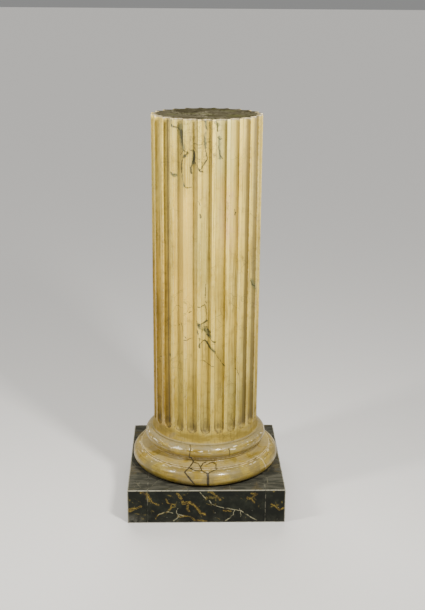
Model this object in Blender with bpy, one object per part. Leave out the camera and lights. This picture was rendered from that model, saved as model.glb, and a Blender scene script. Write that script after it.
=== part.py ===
"""Fluted wooden column on a turned base and a square plinth, painted as marble.

Metres, +Z up. The origin is at the middle of the plinth's underside and the front faces -Y.
"""

import math

import bmesh
import bpy
from mathutils import Matrix, Vector

# Plinth: a middle block between two end boards that run from front to back
PLINTH_HEIGHT = 0.098
PLINTH_MARGIN = 0.00775
END_BOARD_WIDTH = 0.055
PLINTH_EDGE_ROUND = 0.0016

# Shaft
SHAFT_RADIUS = 0.1475
SHAFT_HEIGHT = 0.881
SHAFT_TURN = math.radians(-1.4)
SHAFT_TOP_ROUND = 0.0012

# Flutes, half round across, with a flat fillet between neighbours
FLUTE_COUNT = 24
FLUTE_FILLET = 0.0088
PLAIN_BAND = 0.012

# Foot of the shaft: a small square fillet under a hollow sweep
FOOT_FILLET_PROJECTION = 0.006
FOOT_FILLET_HEIGHT = 0.003
FOOT_SWEEP_HEIGHT = 0.015

# Turned base, from the top down; both toruses are half round.
UPPER_TORUS_HEIGHT = 0.0344
UPPER_FILLET_PROJECTION = 0.0115
UPPER_FILLET_HEIGHT = 0.0052
SCOTIA_HEIGHT = 0.0113
SCOTIA_SPREAD = 0.025
SCOTIA_DEPTH = 0.0035
SCOTIA_THROAT_SHARE = 0.62
LOWER_FILLET_HEIGHT = 0.005
LOWER_TORUS_HEIGHT = 0.0465

# Faces that meet keep this gap.
JOINT_GAP = 0.0003

# Fineness of the faceted surfaces
FACETS_PER_FLUTE = 3
FLUTE_CUTTER_SIDES = 20
FLUTE_END_STEPS = 4
BASE_SIDES = 72
TORUS_STEPS = 10
SCOTIA_STEPS = 6
CURL_STEPS = 3
SWEEP_STEPS = 5
CUTTER_OVERRUN = 0.01

# Radii that follow: the upper torus springs from under the shaft's foot, and the base spreads
# from there to the plinth.
FOOT_FILLET_RADIUS = SHAFT_RADIUS + FOOT_FILLET_PROJECTION
UPPER_FILLET_RADIUS = SHAFT_RADIUS + UPPER_FILLET_PROJECTION
LOWER_FILLET_RADIUS = UPPER_FILLET_RADIUS + SCOTIA_SPREAD
LOWER_TORUS_RADIUS = LOWER_FILLET_RADIUS + LOWER_TORUS_HEIGHT / 2
PLINTH_WIDTH = 2 * (LOWER_TORUS_RADIUS + PLINTH_MARGIN)

# Heights that follow
BASE_BOTTOM = PLINTH_HEIGHT + JOINT_GAP
LOWER_FILLET_BOTTOM = BASE_BOTTOM + LOWER_TORUS_HEIGHT
SCOTIA_BOTTOM = LOWER_FILLET_BOTTOM + LOWER_FILLET_HEIGHT
UPPER_FILLET_BOTTOM = SCOTIA_BOTTOM + SCOTIA_HEIGHT
UPPER_TORUS_BOTTOM = UPPER_FILLET_BOTTOM + UPPER_FILLET_HEIGHT
BASE_TOP = UPPER_TORUS_BOTTOM + UPPER_TORUS_HEIGHT
SHAFT_BOTTOM = BASE_TOP + JOINT_GAP
SHAFT_TOP = SHAFT_BOTTOM + SHAFT_HEIGHT
SWEEP_BOTTOM = SHAFT_BOTTOM + FOOT_FILLET_HEIGHT
SWEEP_TOP = SWEEP_BOTTOM + FOOT_SWEEP_HEIGHT

# Flutes that follow
FLUTE_PITCH_ANGLE = 2 * math.pi / FLUTE_COUNT
FLUTE_HALF_ANGLE = (FLUTE_PITCH_ANGLE - FLUTE_FILLET / SHAFT_RADIUS) / 2
FLUTE_RADIUS = SHAFT_RADIUS * math.sin(FLUTE_HALF_ANGLE)
FLUTE_AXIS_RADIUS = SHAFT_RADIUS * math.cos(FLUTE_HALF_ANGLE)
FLUTE_LOWEST = SWEEP_TOP + PLAIN_BAND
FRONT = math.radians(-90)


def clear_scene():
    for old in list(bpy.data.objects):
        bpy.data.objects.remove(old)


def paint(name, colour, roughness):
    """A plain painted finish."""
    material = bpy.data.materials.new(name)
    material.use_nodes = True
    shader = material.node_tree.nodes["Principled BSDF"]
    shader.inputs["Base Color"].default_value = (*colour, 1)
    shader.inputs["Roughness"].default_value = roughness
    shader.inputs["Metallic"].default_value = 0
    return material


def add_object(name, bm, material=None, smooth_below=None):
    """Turns the bmesh into a named object, smooth where its faces meet at less than the angle."""
    bmesh.ops.recalc_face_normals(bm, faces=bm.faces)
    mesh = bpy.data.meshes.new(name)
    bm.to_mesh(mesh)
    bm.free()
    if smooth_below is not None:
        mesh.shade_smooth()
        mesh.set_sharp_from_angle(angle=smooth_below)
    if material is not None:
        mesh.materials.append(material)
    made = bpy.data.objects.new(name, mesh)
    bpy.context.scene.collection.objects.link(made)
    return made


def arc(centre, half_width, half_height, start, end, steps):
    """Points (radius, height) along an elliptical arc, both ends included."""
    points = []
    for i in range(steps + 1):
        angle = start + (end - start) * i / steps
        points.append(
            (
                centre[0] + half_width * math.cos(angle),
                centre[1] + half_height * math.sin(angle),
            )
        )
    return points


def turn(outline, sides, start_angle=0.0):
    """Turns an outline of (radius, height) points about the Z axis and closes its open ends."""
    bm = bmesh.new()
    spun = Matrix.Rotation(start_angle, 3, "Z")
    corners = [bm.verts.new(spun @ Vector((radius, 0, height))) for radius, height in outline]
    edges = [bm.edges.new(pair) for pair in zip(corners, corners[1:])]
    bmesh.ops.spin(
        bm,
        geom=corners + edges,
        cent=(0, 0, 0),
        axis=(0, 0, 1),
        angle=2 * math.pi,
        steps=sides,
    )
    bmesh.ops.remove_doubles(bm, verts=bm.verts, dist=1e-6)
    bmesh.ops.holes_fill(bm, edges=bm.edges, sides=0)
    return bm


def base_outline():
    """The turned base's side, bottom to top: torus, fillet, scotia, fillet, torus."""
    lower_half = LOWER_TORUS_HEIGHT / 2
    lower_torus = arc(
        (LOWER_FILLET_RADIUS, BASE_BOTTOM + lower_half),
        lower_half,
        lower_half,
        math.radians(-90),
        math.radians(90),
        TORUS_STEPS,
    )
    # The scotia sweeps in from the lower fillet and curls back out under the upper one.
    throat_radius = UPPER_FILLET_RADIUS - SCOTIA_DEPTH
    throat_height = SCOTIA_BOTTOM + SCOTIA_HEIGHT * SCOTIA_THROAT_SHARE
    scotia = arc(
        (LOWER_FILLET_RADIUS, throat_height),
        LOWER_FILLET_RADIUS - throat_radius,
        throat_height - SCOTIA_BOTTOM,
        math.radians(-90),
        math.radians(-180),
        SCOTIA_STEPS,
    )
    curl = arc(
        (UPPER_FILLET_RADIUS, throat_height),
        SCOTIA_DEPTH,
        UPPER_FILLET_BOTTOM - throat_height,
        math.radians(180),
        math.radians(90),
        CURL_STEPS,
    )
    # The upper torus starts where it meets the fillet's upright face.
    upper_half = UPPER_TORUS_HEIGHT / 2
    start = -math.acos((UPPER_FILLET_RADIUS - FOOT_FILLET_RADIUS) / upper_half)
    upper_torus = arc(
        (FOOT_FILLET_RADIUS, UPPER_TORUS_BOTTOM + upper_half),
        upper_half,
        upper_half,
        start,
        math.radians(90),
        TORUS_STEPS,
    )
    return lower_torus + scotia + curl[1:] + upper_torus


def shaft_outline():
    """The plain shaft's side before fluting, bottom to top."""
    sweep = arc(
        (FOOT_FILLET_RADIUS, SWEEP_TOP),
        FOOT_FILLET_PROJECTION,
        FOOT_SWEEP_HEIGHT,
        math.radians(-90),
        math.radians(-180),
        SWEEP_STEPS,
    )
    return [
        (FOOT_FILLET_RADIUS, SHAFT_BOTTOM),
        *sweep,
        (SHAFT_RADIUS, SHAFT_TOP - SHAFT_TOP_ROUND),
        (SHAFT_RADIUS - SHAFT_TOP_ROUND, SHAFT_TOP),
    ]


def flute_cutters():
    """One round-nosed cutter for each flute, open at the shaft's top and ending in a ball below."""
    circumscribed = FLUTE_RADIUS / math.cos(math.pi / FLUTE_CUTTER_SIDES)
    nose = arc(
        (0, FLUTE_LOWEST + FLUTE_RADIUS),
        circumscribed,
        FLUTE_RADIUS,
        -math.pi / 2,
        0,
        FLUTE_END_STEPS,
    )
    outline = [*nose, (circumscribed, SHAFT_TOP + CUTTER_OVERRUN)]
    cutters = bmesh.new()
    for i in range(FLUTE_COUNT):
        one = turn(outline, FLUTE_CUTTER_SIDES, math.pi / FLUTE_CUTTER_SIDES)
        bmesh.ops.translate(one, verts=one.verts, vec=(FLUTE_AXIS_RADIUS, 0, 0))
        angle = FRONT + SHAFT_TURN + i * FLUTE_PITCH_ANGLE
        bmesh.ops.rotate(one, verts=one.verts, matrix=Matrix.Rotation(angle, 3, "Z"))
        piece = bpy.data.meshes.new("one_cutter")
        one.to_mesh(piece)
        one.free()
        cutters.from_mesh(piece)
        bpy.data.meshes.remove(piece)
    return cutters


def make_shaft(material):
    """The fluted shaft, with each fillet on one facet of the turned surface."""
    facets = FLUTE_COUNT * FACETS_PER_FLUTE
    fillet_angle = FRONT + SHAFT_TURN + FLUTE_PITCH_ANGLE / 2
    start_angle = fillet_angle + math.pi / facets
    shaft = add_object(
        "shaft",
        turn(shaft_outline(), facets, start_angle),
        material,
        math.radians(30),
    )
    cutter = add_object("flute_cutters", flute_cutters())
    cutter.hide_render = True
    cutter.display_type = "WIRE"
    cut = shaft.modifiers.new("flutes", "BOOLEAN")
    cut.operation = "DIFFERENCE"
    cut.object = cutter


def make_base(material):
    add_object(
        "base_moulding",
        turn(base_outline(), BASE_SIDES),
        material,
        math.radians(35),
    )


def make_plinth(material):
    """The plinth's rounded block, sawn along both seams into a middle block and two end boards."""
    half = PLINTH_WIDTH / 2
    seam = half - END_BOARD_WIDTH
    side = JOINT_GAP / 2
    boards = {
        "plinth_end_board_left": (None, -seam - side),
        "plinth_middle_block": (-seam + side, seam - side),
        "plinth_end_board_right": (seam + side, None),
    }
    for name, (low, high) in boards.items():
        bm = bmesh.new()
        bmesh.ops.create_cube(bm, size=1)
        bmesh.ops.scale(bm, verts=bm.verts, vec=(PLINTH_WIDTH, PLINTH_WIDTH, PLINTH_HEIGHT))
        bmesh.ops.translate(bm, verts=bm.verts, vec=(0, 0, PLINTH_HEIGHT / 2))
        bmesh.ops.bevel(
            bm,
            geom=bm.edges,
            offset=PLINTH_EDGE_ROUND,
            segments=2,
            profile=0.5,
            affect="EDGES",
        )
        for place, keep_above in ((low, True), (high, False)):
            if place is None:
                continue
            bmesh.ops.bisect_plane(
                bm,
                geom=bm.verts[:] + bm.edges[:] + bm.faces[:],
                plane_co=(place, 0, 0),
                plane_no=(1, 0, 0),
                clear_inner=keep_above,
                clear_outer=not keep_above,
            )
            bmesh.ops.holes_fill(bm, edges=bm.edges, sides=0)
        add_object(name, bm, material, math.radians(40))


def main():
    clear_scene()
    yellow = paint("painted_yellow_marble", (0.66, 0.50, 0.24), 0.42)
    black = paint("painted_black_marble", (0.035, 0.04, 0.035), 0.35)
    make_shaft(yellow)
    make_base(yellow)
    make_plinth(black)


main()
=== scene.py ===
"""The looks of a fluted wooden column that is painted as marble.

Metres, +Z up. The column stands on z = 0 and its front faces -Y.
"""

import math

import bmesh
import bpy
from mathutils import Matrix, Vector, noise


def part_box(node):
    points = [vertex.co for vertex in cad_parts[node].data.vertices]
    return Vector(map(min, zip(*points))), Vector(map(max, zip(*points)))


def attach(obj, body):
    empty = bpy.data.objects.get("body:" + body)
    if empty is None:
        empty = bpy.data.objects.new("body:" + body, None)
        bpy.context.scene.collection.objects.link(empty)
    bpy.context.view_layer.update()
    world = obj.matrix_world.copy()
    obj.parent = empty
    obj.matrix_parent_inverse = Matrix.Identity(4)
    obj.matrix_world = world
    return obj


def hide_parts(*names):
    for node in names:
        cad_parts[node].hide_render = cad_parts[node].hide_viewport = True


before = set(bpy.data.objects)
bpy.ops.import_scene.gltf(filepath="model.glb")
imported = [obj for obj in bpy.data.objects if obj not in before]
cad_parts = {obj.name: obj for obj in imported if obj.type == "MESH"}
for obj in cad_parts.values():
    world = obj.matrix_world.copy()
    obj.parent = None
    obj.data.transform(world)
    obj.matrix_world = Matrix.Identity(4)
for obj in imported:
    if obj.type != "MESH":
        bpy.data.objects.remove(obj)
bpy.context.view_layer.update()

# Places and sizes that the parts in model.glb give
SHAFT_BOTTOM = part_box("shaft")[0].z
SHAFT_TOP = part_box("shaft")[1].z
BASE_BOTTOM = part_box("base_moulding")[0].z
PLINTH_NODES = ("plinth_middle_block", "plinth_end_board_left", "plinth_end_board_right")
PLINTH_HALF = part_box("plinth_middle_block")[1].y
PLINTH_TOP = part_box("plinth_middle_block")[1].z
SEAM_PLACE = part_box("plinth_end_board_right")[0].x

# The shaft's own sizes
SHAFT_RADIUS = 0.1475
SHAFT_TURN = math.radians(-1.4)
FLUTE_COUNT = 24
FLUTE_FILLET = 0.0088
PLAIN_BAND = 0.012
FOOT_FILLET_PROJECTION = 0.006
FOOT_FILLET_HEIGHT = 0.003
FOOT_SWEEP_HEIGHT = 0.015

# The base's own sizes
UPPER_TORUS_HEIGHT = 0.0344
UPPER_FILLET_PROJECTION = 0.0115
UPPER_FILLET_HEIGHT = 0.0052
SCOTIA_HEIGHT = 0.0113
SCOTIA_SPREAD = 0.025
SCOTIA_DEPTH = 0.0035
SCOTIA_THROAT_SHARE = 0.62
LOWER_FILLET_HEIGHT = 0.005
LOWER_TORUS_HEIGHT = 0.0465

# The camera, fitted to the photograph
CAMERA_PLACE = (-0.0538, -2.5834, 1.3579)
CAMERA_YAW = math.radians(-1.595)
CAMERA_PITCH = math.radians(-17.228)
CAMERA_ROLL = math.radians(0.425)
CAMERA_FOCAL_PIXELS = 974.2
FRAME_HEIGHT_PIXELS = 610
SENSOR = 36.0

# What follows from those sizes
FRONT = math.radians(-90)
FLUTE_PITCH_ANGLE = 2 * math.pi / FLUTE_COUNT
FLUTE_HALF_ANGLE = (FLUTE_PITCH_ANGLE - FLUTE_FILLET / SHAFT_RADIUS) / 2
FLUTE_RADIUS = SHAFT_RADIUS * math.sin(FLUTE_HALF_ANGLE)
FLUTE_AXIS_RADIUS = SHAFT_RADIUS * math.cos(FLUTE_HALF_ANGLE)
FOOT_FILLET_RADIUS = SHAFT_RADIUS + FOOT_FILLET_PROJECTION
# The base's map is unrolled at this radius.
BASE_MAP_RADIUS = 0.18


class Wire:
    """An output socket that takes part in Python sums: each operation adds one Math node."""

    def __init__(self, board, socket):
        self.board = board
        self.socket = socket

    def __add__(self, other):
        return self.board.number("ADD", self, other)

    __radd__ = __add__

    def __sub__(self, other):
        return self.board.number("SUBTRACT", self, other)

    def __rsub__(self, other):
        return self.board.number("SUBTRACT", other, self)

    def __mul__(self, other):
        return self.board.number("MULTIPLY", self, other)

    __rmul__ = __mul__

    def __truediv__(self, other):
        return self.board.number("DIVIDE", self, other)

    def __rtruediv__(self, other):
        return self.board.number("DIVIDE", other, self)

    def __abs__(self):
        return self.board.number("ABSOLUTE", self)

    def least(self, other):
        return self.board.number("MINIMUM", self, other)

    def most(self, other):
        return self.board.number("MAXIMUM", self, other)

    def above(self, limit):
        return self.board.number("GREATER_THAN", self, limit)

    def fraction(self):
        return self.board.number("FRACT", self)

    def clamped(self):
        return self.board.node("ShaderNodeClamp", None, {"Value": self})

    def rise(self, start, end):
        """0 up to start and 1 from end on, with a smooth step between them."""
        settings = {"interpolation_type": "SMOOTHSTEP"}
        sockets = {"Value": self, "From Min": start, "From Max": end}
        return self.board.node("ShaderNodeMapRange", settings, sockets)

    def fall(self, start, end):
        """1 up to start and 0 from end on."""
        return 1 - self.rise(start, end)

    def between(self, start, full, waning, end):
        """Rises from start to full and falls from waning to end."""
        return self.rise(start, full) * self.fall(waning, end)


class Board:
    """A node tree, shader or geometry, with one method that adds any node."""

    def __init__(self, tree):
        self.tree = tree

    def node(self, kind, settings=None, sockets=None, out=0):
        """Adds a node, makes its settings, then fills its sockets, and gives back an output."""
        made = self.tree.nodes.new(kind)
        for name, value in (settings or {}).items():
            setattr(made, name, value)
        for place, value in (sockets or {}).items():
            if isinstance(value, Wire):
                self.tree.links.new(value.socket, made.inputs[place])
            else:
                made.inputs[place].default_value = value
        return Wire(self, made.outputs[out]) if made.outputs else None

    def number(self, operation, *terms):
        return self.node("ShaderNodeMath", {"operation": operation}, dict(enumerate(terms)))

    def vector(self, operation, *terms, out=0):
        settings = {"operation": operation}
        return self.node("ShaderNodeVectorMath", settings, dict(enumerate(terms)), out)

    def scaled(self, vector, factor):
        sockets = {"Vector": vector, "Scale": factor}
        return self.node("ShaderNodeVectorMath", {"operation": "SCALE"}, sockets)

    def combine(self, x=0.0, y=0.0, z=0.0):
        return self.node("ShaderNodeCombineXYZ", None, {0: x, 1: y, 2: z})

    def parts(self, vector):
        """A vector's three numbers."""
        first = self.node("ShaderNodeSeparateXYZ", None, {0: vector})
        outputs = first.socket.node.outputs
        return [Wire(self, outputs[i]) for i in range(3)]

    def noise(self, place, scale, detail=3.0, roughness=0.5, out="Fac"):
        sockets = {"Vector": place, "Scale": scale, "Detail": detail, "Roughness": roughness}
        return self.node("ShaderNodeTexNoise", None, sockets, out)

    def angle_from_front(self, x, y):
        return self.number("ARCTAN2", x, 0 - y)

    def mix(self, factor, first, second, mode="MIX"):
        """A colour between the first and the second."""
        colours = [c if isinstance(c, Wire) else (*c, 1) for c in (first, second)]
        settings = {"data_type": "RGBA", "blend_type": mode}
        return self.node("ShaderNodeMix", settings, {0: factor, 6: colours[0], 7: colours[1]}, 2)

    def warped(self, place, scale, reach, detail=2.0):
        """The place pushed about by noise, by up to about the reach."""
        push = self.noise(place, scale, detail, out="Color")
        push = self.vector("SUBTRACT", push, (0.5, 0.5, 0.5))
        return self.vector("ADD", place, self.scaled(push, 2 * reach))


class Paint(Board):
    """A material's node tree: a colour, laid on coat by coat, and one varnished surface."""

    def __init__(self, name):
        self.material = bpy.data.materials.new(name)
        self.material.use_nodes = True
        super().__init__(self.material.node_tree)
        self.tree.nodes.clear()
        self.place = self.node("ShaderNodeTexCoord", out="Object")
        self.x, self.y, self.z = self.parts(self.place)
        self.colour = None

    def stretched(self, place, x, y, z):
        """The place, with a pattern on it drawn out along each axis whose factor is under 1."""
        return self.vector("MULTIPLY", place, (x, y, z))

    def moved(self, place, x, y, z):
        return self.vector("ADD", place, (x, y, z))

    def from_axis(self):
        """The distance from the column's axis."""
        return self.vector("LENGTH", self.combine(self.x, self.y), out=1)

    def unrolled_shaft(self):
        """The place on the unrolled shaft: length round it from the front, then height."""
        return self.combine(self.angle_from_front(self.x, self.y) * SHAFT_RADIUS, self.z)

    def lay(self, mask, colour):
        """Lays a colour over the paint so far, where the mask says."""
        self.colour = self.mix(mask, self.colour, colour)

    def glaze(self, mask, tint):
        """Darkens the paint so far with a see-through tint, where the mask says."""
        self.lay(mask, self.mix(1.0, self.colour, tint, "MULTIPLY"))

    def finish(
        self, roughness, relief, relief_depth, coat=None, coat_roughness=0.2, specular=0.5
    ):
        """Ends the tree: the relief is a height from 0 to 1, worth the depth in metres."""
        bump = self.node(
            "ShaderNodeBump",
            None,
            {"Strength": 1.0, "Distance": relief_depth, "Height": relief},
        )
        sockets = {
            "Base Color": self.colour,
            "Roughness": roughness,
            "Normal": bump,
            "Coat Roughness": coat_roughness,
            "Specular IOR Level": specular,
        }
        if coat is not None:
            sockets["Coat Weight"] = coat
        surface = self.node("ShaderNodeBsdfPrincipled", None, sockets)
        self.node("ShaderNodeOutputMaterial", None, {"Surface": surface})
        return self.material


def stroke_nearness(paint, spot, strokes):
    """How near a spot is to any stroke: 1 on its line, 0 at its half width and beyond.

    A stroke is (half width, points), in metres on the plane of the spot's first two numbers.
    """
    nearest = None
    for half_width, points in strokes:
        for start, end in zip(points, points[1:]):
            run = Vector((*end, 0)) - Vector((*start, 0))
            from_start = paint.vector("SUBTRACT", spot, (*start, 0))
            along = paint.vector("DOT_PRODUCT", from_start, run / run.length_squared, out=1)
            reached = paint.scaled(run, along.clamped())
            off = paint.vector("DISTANCE", from_start, reached, out=1) * (1 / half_width)
            nearest = off if nearest is None else nearest.least(off)
    return (1 - nearest).clamped()


def arc(centre, half_width, half_height, start, end, steps):
    """Points (radius, height) along an elliptical arc, both ends included."""
    angles = [start + (end - start) * i / steps for i in range(steps + 1)]
    return [
        (centre[0] + half_width * math.cos(a), centre[1] + half_height * math.sin(a))
        for a in angles
    ]


def mesh_object(name, bm, *materials):
    """A smooth-shaded object from the bmesh, with its normals facing out."""
    bmesh.ops.recalc_face_normals(bm, faces=bm.faces)
    mesh = bpy.data.meshes.new(name)
    bm.to_mesh(mesh)
    bm.free()
    mesh.shade_smooth()
    for material in materials:
        mesh.materials.append(material)
    made = bpy.data.objects.new(name, mesh)
    bpy.context.scene.collection.objects.link(made)
    return made


# Shaft: faces across and along one sector, and small roundings
FILLET_COLUMNS = 3
FLUTE_COLUMNS = 16
NOSE_ROWS = 9
FLUTE_ROWS = 96
SWEEP_ROWS = 6
TOP_ROUND = 0.0010
TOP_RINGS = (0.126, 0.110, 0.080, 0.040)
SHARP_ON_SHAFT = math.radians(38)

# How the carver's hand wanders
HAND_WANDER = 0.0005
WANDER_SCALE = 28.0
WANDER_SEED = 3.0
MERGE_REACH = 2e-5


def hand_spacing(angle):
    """How far the carver's flutes stray from even spacing, at an angle from the front."""
    right = angle.between(0.30, 0.58, 0.85, 1.15)
    left = angle.between(-0.75, -0.55, -0.20, 0.05)
    return left * 0.012 - right * 0.022


def sector_section(shaft_radius, flute_radius, height):
    """One pitch of the shaft's outline at a height: half a fillet, a flute, half a fillet.

    The angle is measured from the flute's middle. With no flute the outline is plain.
    """
    half_pitch = FLUTE_PITCH_ANGLE / 2
    wall = []
    edge_angle = 0.0
    if flute_radius is not None:
        reach = FLUTE_AXIS_RADIUS**2 + flute_radius**2 - shaft_radius**2
        swing = math.acos(max(-1.0, reach / (2 * FLUTE_AXIS_RADIUS * flute_radius)))
        for i in range(FLUTE_COLUMNS + 1):
            turn = swing * (2 * i / FLUTE_COLUMNS - 1)
            x = FLUTE_AXIS_RADIUS - flute_radius * math.cos(turn)
            y = flute_radius * math.sin(turn)
            wall.append((x, y, height))
        edge_angle = math.atan2(wall[-1][1], wall[-1][0])
    fillet = []
    for i in range(FILLET_COLUMNS + 1):
        angle = half_pitch + (edge_angle - half_pitch) * i / FILLET_COLUMNS
        fillet.append((shaft_radius * math.cos(angle), shaft_radius * math.sin(angle), height))
    left = [(x, -y, z) for x, y, z in fillet]
    right = fillet[::-1]
    if flute_radius is None:
        return left + right[1:]
    return left + wall[1:-1] + right


def flute_sector():
    """One flute with half a fillet at each side, from the axis at the foot to the axis on top."""
    bm = bmesh.new()
    sweep_top = SHAFT_BOTTOM + FOOT_FILLET_HEIGHT + FOOT_SWEEP_HEIGHT
    nose_centre = sweep_top + PLAIN_BAND + FLUTE_RADIUS

    def row(points):
        return [bm.verts.new(point) for point in points]

    def join(lower, upper):
        for i in range(len(lower) - 1):
            bm.faces.new((lower[i], lower[i + 1], upper[i + 1], upper[i]))

    def cap(rim, centre):
        for first, second in zip(rim, rim[1:]):
            bm.faces.new((first, second, centre))

    # Foot: underside, square fillet, hollow sweep and plain band
    foot = [(FOOT_FILLET_RADIUS, SHAFT_BOTTOM)]
    foot += arc(
        (FOOT_FILLET_RADIUS, sweep_top),
        FOOT_FILLET_PROJECTION,
        FOOT_SWEEP_HEIGHT,
        math.radians(-90),
        math.radians(-180),
        SWEEP_ROWS,
    )
    foot.append((SHAFT_RADIUS, sweep_top + PLAIN_BAND / 2))
    rows = [row(sector_section(radius, None, height)) for radius, height in foot]
    cap(rows[0], bm.verts.new((0, 0, SHAFT_BOTTOM)))
    for lower, upper in zip(rows, rows[1:]):
        join(lower, upper)

    # The nose's lowest row runs round its pole; the plain rows end on its two fillets.
    smallest = SHAFT_RADIUS - FLUTE_AXIS_RADIUS
    lowest_turn = math.acos(smallest / FLUTE_RADIUS)
    nose = []
    for i in range(NOSE_ROWS, 0, -1):
        turn = lowest_turn * i / NOSE_ROWS
        radius = max(smallest, FLUTE_RADIUS * math.cos(turn))
        height = nose_centre - FLUTE_RADIUS * math.sin(turn)
        nose.append(row(sector_section(SHAFT_RADIUS, radius, height)))
    first = nose[0]
    join(rows[-1], first[: FILLET_COLUMNS + 1] + first[-FILLET_COLUMNS:])
    pole = bm.verts.new((FLUTE_AXIS_RADIUS, 0, nose_centre - FLUTE_RADIUS))
    cap(first[FILLET_COLUMNS:-FILLET_COLUMNS], pole)
    for lower, upper in zip(nose, nose[1:]):
        join(lower, upper)

    # The straight flute, then the rounded top edge
    top = SHAFT_TOP - TOP_ROUND
    last = nose[-1]
    for i in range(FLUTE_ROWS + 1):
        height = nose_centre + (top - nose_centre) * i / FLUTE_ROWS
        upper = row(sector_section(SHAFT_RADIUS, FLUTE_RADIUS, height))
        join(last, upper)
        last = upper
    for share in (0.5, 1.0):
        turn = share * math.pi / 2
        inset = TOP_ROUND * (1 - math.cos(turn))
        height = top + TOP_ROUND * math.sin(turn)
        upper = row(sector_section(SHAFT_RADIUS - inset, FLUTE_RADIUS + inset, height))
        join(last, upper)
        last = upper
    for radius in TOP_RINGS:
        half_pitch = FLUTE_PITCH_ANGLE / 2
        angles = [half_pitch * (2 * i / (len(last) - 1) - 1) for i in range(len(last))]
        points = [(radius * math.cos(a), radius * math.sin(a), SHAFT_TOP) for a in angles]
        upper = row(points)
        join(last, upper)
        last = upper
    cap(last, bm.verts.new((0, 0, SHAFT_TOP)))
    bmesh.ops.remove_doubles(bm, verts=bm.verts, dist=1e-6)
    return bm


def fluting_tree(side_paint, top_paint):
    """Geometry nodes that set copies of one sector round the axis and make one skin of them."""
    tree = bpy.data.node_groups.new("fluting", "GeometryNodeTree")
    board = Board(tree)
    wanted = {
        "Sector": "NodeSocketGeometry",
        "Flutes": "NodeSocketInt",
        "First Flute": "NodeSocketFloat",
        "Hand Wander": "NodeSocketFloat",
        "Spacing Wander": "NodeSocketFloat",
        "Seed": "NodeSocketFloat",
        "Top": "NodeSocketFloat",
    }
    for name, kind in wanted.items():
        tree.interface.new_socket(name, in_out="INPUT", socket_type=kind)
    tree.interface.new_socket("Geometry", in_out="OUTPUT", socket_type="NodeSocketGeometry")
    given = {name: board.node("NodeGroupInput", out=name) for name in wanted}

    points = board.node(
        "GeometryNodeMeshLine", None, {"Count": given["Flutes"], "Offset": (0, 0, 0)}
    )
    index = board.node("GeometryNodeInputIndex")
    turn = given["First Flute"] + index * (2 * math.pi / given["Flutes"])
    copies = board.node(
        "GeometryNodeInstanceOnPoints",
        None,
        {"Points": points, "Instance": given["Sector"], "Rotation": board.combine(0, 0, turn)},
    )
    solid = board.node("GeometryNodeRealizeInstances", None, {"Geometry": copies})
    skin = board.node(
        "GeometryNodeMergeByDistance", None, {"Geometry": solid, "Distance": MERGE_REACH}
    )

    # Hand work wanders a little, but the flat ends stay flat.
    position = board.node("GeometryNodeInputPosition")
    x, y, z = board.parts(position)
    outward = board.vector("NORMALIZE", board.combine(x, y, 0))
    seeded = board.vector("ADD", position, board.combine(given["Seed"], 0, 0))
    drawn_out = board.vector("MULTIPLY", seeded, (1, 1, 0.35))
    drift = board.noise(drawn_out, WANDER_SCALE, 2.0) - 0.5
    body = z.rise(SHAFT_BOTTOM + FOOT_FILLET_HEIGHT, SHAFT_BOTTOM + 0.05)
    push = board.scaled(outward, (drift - 0.3) * 2 * given["Hand Wander"] * body)
    stray = hand_spacing(board.angle_from_front(x, y)) * given["Spacing Wander"]
    stray = stray * z.rise(SHAFT_BOTTOM, SHAFT_BOTTOM + 0.02)
    sideways = board.scaled(board.combine(0 - y, x, 0), stray)
    push = board.vector("ADD", push, sideways)
    wandered = board.node("GeometryNodeSetPosition", None, {"Geometry": skin, "Offset": push})

    sides = board.node(
        "GeometryNodeSetMaterial", None, {"Geometry": wandered, "Material": side_paint}
    )
    normal = board.node("GeometryNodeInputNormal")
    upward = board.parts(normal)[2].above(0.9)
    on_top = upward * z.above(given["Top"] - 0.0002)
    whole = board.node(
        "GeometryNodeSetMaterial",
        None,
        {"Geometry": sides, "Selection": on_top, "Material": top_paint},
    )
    board.node("NodeGroupOutput", None, {0: whole})
    return tree


def apply_tree(piece, tree, sizes):
    """Turns the piece's evaluated geometry into its plain mesh."""
    modifier = piece.modifiers.new(tree.name, "NODES")
    modifier.node_group = tree
    for item in tree.interface.items_tree:
        if item.name in sizes:
            modifier[item.identifier] = sizes[item.name]
    shown = piece.evaluated_get(bpy.context.evaluated_depsgraph_get())
    mesh = bpy.data.meshes.new_from_object(shown)
    piece.modifiers.remove(modifier)
    piece.data = mesh
    return piece


def make_shaft(side_paint, top_paint):
    shaft = mesh_object("fluted_shaft", flute_sector(), side_paint)
    sizes = {
        "Flutes": FLUTE_COUNT,
        "First Flute": FRONT + SHAFT_TURN,
        "Hand Wander": HAND_WANDER,
        "Spacing Wander": 1.0,
        "Seed": WANDER_SEED,
        "Top": SHAFT_TOP,
    }
    apply_tree(shaft, fluting_tree(side_paint, top_paint), sizes)
    shaft.data.shade_smooth()
    shaft.data.set_sharp_from_angle(angle=SHARP_ON_SHAFT)
    return shaft


# Base
BASE_SIDES = 288
TORUS_STEPS = 26
SCOTIA_STEPS = 14
CURL_STEPS = 6
SHARP_ON_BASE = math.radians(40)


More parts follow.
